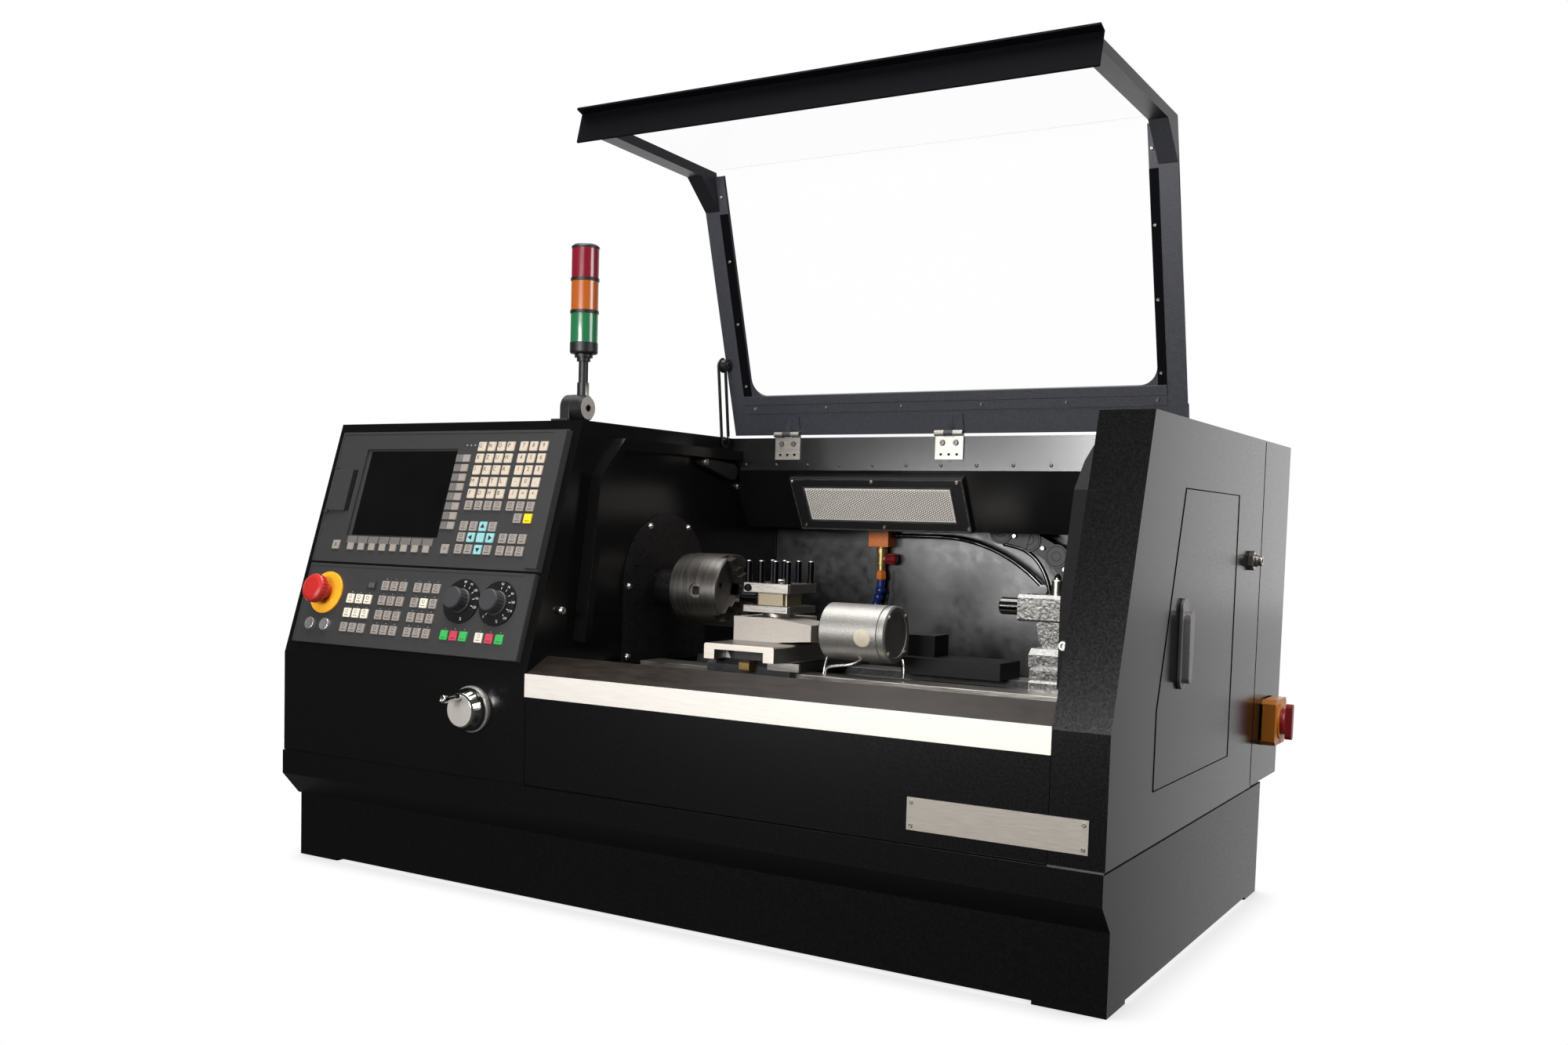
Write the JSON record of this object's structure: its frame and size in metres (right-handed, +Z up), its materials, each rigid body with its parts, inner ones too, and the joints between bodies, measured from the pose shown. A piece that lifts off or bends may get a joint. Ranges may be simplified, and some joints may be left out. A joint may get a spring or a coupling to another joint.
{
  "type": "benchtop cnc lathe",
  "caption": "Enclosed benchtop CNC lathe with a swing-up clear guard hood, slanted operator panel, tool turret, tailstock and signal light",
  "frame": {"origin": "centre of the bounding box in X and Y, floor plane in Z", "axes": "+X to the right seen from the front, +Y to the back, +Z up"},
  "size_m": [1.2301, 0.8156, 1.006],
  "materials": {
    "base_stand": "black semi-gloss powder coat",
    "left_housing": "black semi-gloss powder coat",
    "right_housing": "black semi-gloss powder coat",
    "rear_cabinet": "black semi-gloss powder coat",
    "work_back": "black semi-gloss powder coat",
    "top_beam": "black semi-gloss powder coat",
    "front_sill": "black semi-gloss powder coat",
    "sill_trim": "brushed stainless sheet",
    "spindle_cover": "black painted plate",
    "spindle": "turned steel",
    "jaw_a": "ground steel",
    "jaw_b": "ground steel",
    "jaw_c3": "ground steel",
    "bed": "ground cast iron",
    "saddle": "machined cast iron",
    "cross_slide": "machined cast iron",
    "turret_base": "ground casting",
    "turret_motor": "silver hammered paint",
    "turret": "machined steel",
    "tool_bolts": "blackened steel",
    "tailstock": "dark painted casting",
    "quill": "ground steel",
    "quill_lock": "blackened steel",
    "work_light": "black painted frame",
    "light_lens": "white diffuser",
    "wall_arm": "black moulded arm",
    "coolant_block": "orange moulded block",
    "coolant_valve": "turned brass",
    "valve_knob": "red plastic knob",
    "coolant_pipe": "blue segmented pipe",
    "coolant_hose": "black hose",
    "cable_chain": "black moulded links",
    "hood_frame": "black semi-gloss powder coat",
    "hood_trim": "black semi-gloss powder coat",
    "hood_window": "clear polycarbonate sheet",
    "hinge_fixed": "stainless hinge leaf",
    "hinge_moving": "black painted hinge leaf",
    "stay_arm": "black painted steel strip",
    "stay_stud": "black clamp knob",
    "panels": "black panel bezel",
    "screen": "lit display",
    "keys": "cream membrane keys",
    "usb_flap": "black cover flap",
    "stop_ring": "yellow ring",
    "stop_head": "red mushroom head",
    "button_a": "bright push button",
    "button_b": "bright push button",
    "dial_left": "dark grey knob",
    "dial_right": "dark grey knob",
    "mpg_flange": "satin aluminium dial",
    "mpg_wheel": "polished wheel",
    "mpg_crank": "polished crank handle",
    "stack_base": "black pivot block",
    "stack_pole": "black pole and collars",
    "signal_lenses": "coloured lenses",
    "side_door": "black semi-gloss powder coat",
    "door_latch": "grey die-cast lever",
    "switch_box": "orange-yellow moulded base",
    "switch_handle": "red handle",
    "air_fitting": "plated fitting"
  },
  "bodies": {
    "enclosure": {"base_stand": "base_stand", "left_housing": "left_housing", "right_housing": "right_housing", "rear_cabinet": "rear_cabinet", "work_back": "work_back", "top_beam": "top_beam", "front_sill": "front_sill", "sill_trim": "sill_trim", "spindle_cover": "spindle_cover", "bed": "bed", "work_light": "work_light", "light_lens": "light_lens", "wall_arm": "wall_arm", "coolant_block": "coolant_block", "coolant_valve": "coolant_valve", "coolant_pipe": "coolant_pipe", "coolant_hose": "coolant_hose", "cable_chain": "cable_chain", "hinge_fixed": "hinge_fixed", "panels": "panels", "screen": "screen", "keys": "keys", "stop_ring": "stop_ring", "mpg_flange": "mpg_flange", "stack_base": "stack_base", "switch_box": "switch_box", "air_fitting": "air_fitting"},
    "hood": {"hood_frame": "hood_frame", "hood_trim": "hood_trim", "hood_window": "hood_window", "hinge_moving": "hinge_moving", "stay_stud": "stay_stud"},
    "stay": {"stay_arm": "stay_arm"},
    "side_door": {"side_door": "side_door"},
    "door_latch": {"door_latch": "door_latch"},
    "stop_head": {"stop_head": "stop_head"},
    "button_a": {"button_a": "button_a"},
    "button_b": {"button_b": "button_b"},
    "dial_left": {"dial_left": "dial_left"},
    "dial_right": {"dial_right": "dial_right"},
    "mpg_wheel": {"mpg_wheel": "mpg_wheel"},
    "mpg_crank": {"mpg_crank": "mpg_crank"},
    "usb_flap": {"usb_flap": "usb_flap"},
    "stack_light": {"stack_pole": "stack_pole", "signal_lenses": "signal_lenses"},
    "switch_handle": {"switch_handle": "switch_handle"},
    "chuck": {"spindle": "spindle"},
    "jaw_a": {"jaw_a": "jaw_a"},
    "jaw_b": {"jaw_b": "jaw_b"},
    "jaw_c": {"jaw_c3": "jaw_c3"},
    "carriage": {"saddle": "saddle"},
    "cross_slide": {"cross_slide": "cross_slide", "turret_base": "turret_base", "turret_motor": "turret_motor"},
    "turret": {"turret": "turret", "tool_bolts": "tool_bolts"},
    "tailstock": {"tailstock": "tailstock"},
    "quill": {"quill": "quill"},
    "quill_lock": {"quill_lock": "quill_lock"},
    "valve_knob": {"valve_knob": "valve_knob"}
  },
  "joints": [
    {"name": "hood_hinge", "type": "hinge", "parent": "enclosure", "child": "hood", "pos_m": [0.17325, 0.10575, 0.6214], "axis": [1, 0, 0], "range_deg": [0, 77.5]},
    {"name": "stay_pivot", "type": "hinge", "parent": "enclosure", "child": "stay", "pos_m": [-0.16775, 0.08475, 0.6102], "axis": [1, 0, 0], "range_deg": [0, 81.2]},
    {"name": "door_hinge", "type": "hinge", "parent": "enclosure", "child": "side_door", "pos_m": [0.57505, 0.11475, 0.38], "axis": [0, 0, 1], "range_deg": [0, 110]},
    {"name": "latch_turn", "type": "hinge", "parent": "side_door", "child": "door_latch", "pos_m": [0.58025, -0.11725, 0.395], "axis": [1, 0, 0], "range_deg": [0, 90]},
    {"name": "stop_press", "type": "slide", "parent": "enclosure", "child": "stop_head", "axis": [0, 0.9535, -0.3013], "range_m": [0, 0.005], "stiffness_N_per_m": 900},
    {"name": "button_a_press", "type": "slide", "parent": "enclosure", "child": "button_a", "axis": [0, 0.9535, -0.3013], "range_m": [0, 0.003], "stiffness_N_per_m": 500},
    {"name": "button_b_press", "type": "slide", "parent": "enclosure", "child": "button_b", "axis": [0, 0.9535, -0.3013], "range_m": [0, 0.003], "stiffness_N_per_m": 500},
    {"name": "dial_left_turn", "type": "hinge", "parent": "enclosure", "child": "dial_left", "pos_m": [-0.29755, -0.34045, 0.37972], "axis": [0, -0.9535, 0.3013], "range_deg": [-150, 150]},
    {"name": "dial_right_turn", "type": "hinge", "parent": "enclosure", "child": "dial_right", "pos_m": [-0.23535, -0.34045, 0.37972], "axis": [0, -0.9535, 0.3013], "range_deg": [-150, 150]},
    {"name": "mpg_turn", "type": "hinge", "parent": "enclosure", "child": "mpg_wheel", "pos_m": [-0.25775, -0.37225, 0.242], "axis": [0, -1, 0], "continuous": true},
    {"name": "crank_spin", "type": "hinge", "parent": "mpg_wheel", "child": "mpg_crank", "pos_m": [-0.25775, -0.39225, 0.259], "axis": [0, -1, 0], "continuous": true},
    {"name": "usb_flap_hinge", "type": "hinge", "parent": "enclosure", "child": "usb_flap", "pos_m": [-0.59315, -0.28925, 0.52053], "axis": [0, -0.3013, -0.9535], "range_deg": [0, 100]},
    {"name": "stack_fold", "type": "hinge", "parent": "enclosure", "child": "stack_light", "pos_m": [-0.19275, -0.22225, 0.635], "axis": [1, 0, 0], "range_deg": [-85, 0]},
    {"name": "switch_turn", "type": "hinge", "parent": "enclosure", "child": "switch_handle", "pos_m": [0.60325, 0.32825, 0.2375], "axis": [1, 0, 0], "range_deg": [0, 90]},
    {"name": "spindle_turn", "type": "hinge", "parent": "enclosure", "child": "chuck", "pos_m": [-0.11175, -0.05975, 0.3965], "axis": [1, 0, 0], "continuous": true},
    {"name": "jaw_a_slide", "type": "slide", "parent": "chuck", "child": "jaw_a", "axis": [0, -0.3256, 0.9455], "range_m": [-0.006, 0.004]},
    {"name": "jaw_b_slide", "type": "slide", "parent": "chuck", "child": "jaw_b", "axis": [0, -0.6561, -0.7547], "range_m": [-0.006, 0.004]},
    {"name": "jaw_c_slide", "type": "slide", "parent": "chuck", "child": "jaw_c", "axis": [0, 0.9816, -0.1908], "range_m": [-0.006, 0.004]},
    {"name": "carriage_slide", "type": "slide", "parent": "enclosure", "child": "carriage", "axis": [1, 0, 0], "range_m": [-0.01, 0.08]},
    {"name": "cross_slide_move", "type": "slide", "parent": "carriage", "child": "cross_slide", "axis": [0, 1, 0], "range_m": [-0.06, 0.04]},
    {"name": "turret_turn", "type": "hinge", "parent": "cross_slide", "child": "turret", "pos_m": [0.03575, -0.08475, 0.4], "axis": [0, 0, 1], "continuous": true},
    {"name": "tailstock_slide", "type": "slide", "parent": "enclosure", "child": "tailstock", "axis": [1, 0, 0], "range_m": [-0.066, 0.025]},
    {"name": "quill_slide", "type": "slide", "parent": "tailstock", "child": "quill", "axis": [-1, 0, 0], "range_m": [-0.02, 0.05]},
    {"name": "quill_lock_turn", "type": "hinge", "parent": "tailstock", "child": "quill_lock", "pos_m": [0.41125, -0.05975, 0.415], "axis": [0, 0, 1], "range_deg": [-60, 60]},
    {"name": "valve_turn", "type": "hinge", "parent": "enclosure", "child": "valve_knob", "pos_m": [0.04325, 0.23175, 0.442], "axis": [1, 0, 0], "range_deg": [0, 90]}
  ],
  "couplings": [
    {"joint": "stay_pivot", "follows": "hood_hinge", "ratio": 1.047},
    {"joint": "jaw_b_slide", "follows": "jaw_a_slide", "ratio": 1},
    {"joint": "jaw_c_slide", "follows": "jaw_a_slide", "ratio": 1}
  ]
}
